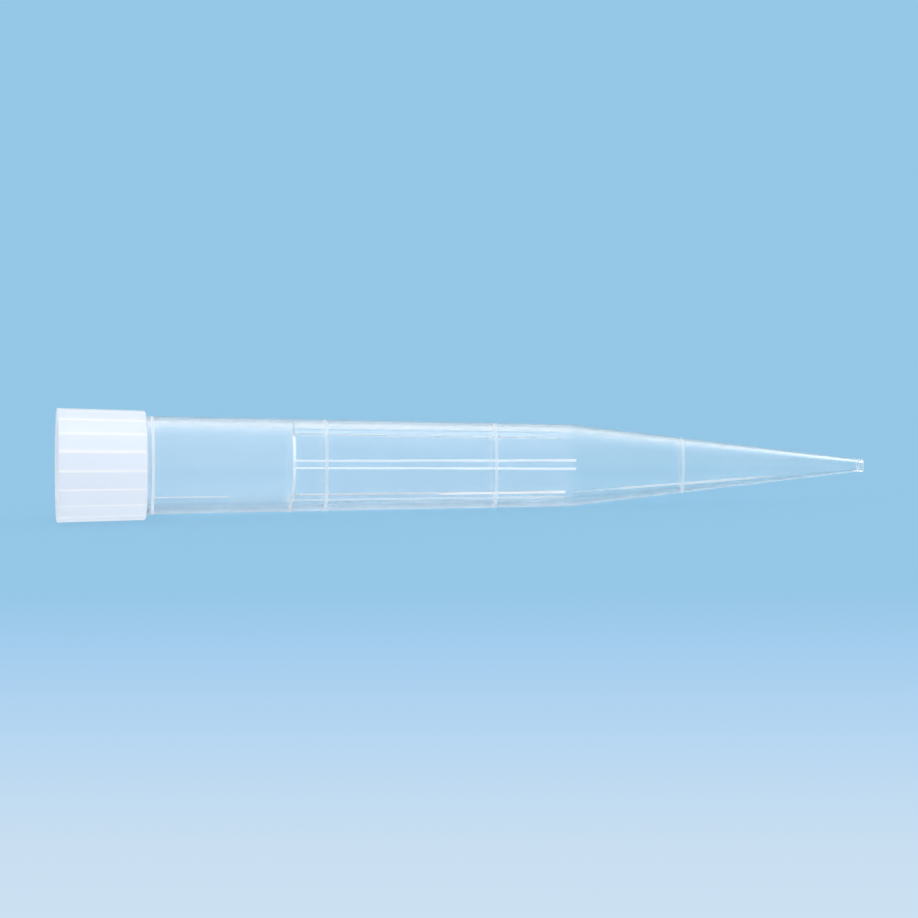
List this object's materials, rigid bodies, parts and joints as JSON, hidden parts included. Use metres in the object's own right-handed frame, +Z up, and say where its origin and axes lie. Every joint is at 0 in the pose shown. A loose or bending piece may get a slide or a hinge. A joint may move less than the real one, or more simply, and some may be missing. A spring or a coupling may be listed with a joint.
{
  "type": "pipette tip",
  "caption": "Translucent polypropylene pipette tip with an 18-sided collar, tapered barrel with inner ribs, raised volume rings and a fine nose.",
  "frame": {"origin": "under the middle of the lying tip's bounding box, on the surface that it lies on", "axes": "+X runs along the tip towards the nose (the tip's own axis dips 1.78 degrees below it), +Z is up, +Y is across"},
  "size_m": [0.0712, 0.0102, 0.01],
  "materials": {
    "natural_polypropylene": "clear natural polypropylene with a soft haze, semi-gloss as moulded"
  },
  "bodies": {
    "root": {"pipette_tip": "natural_polypropylene"}
  },
  "joints": []
}
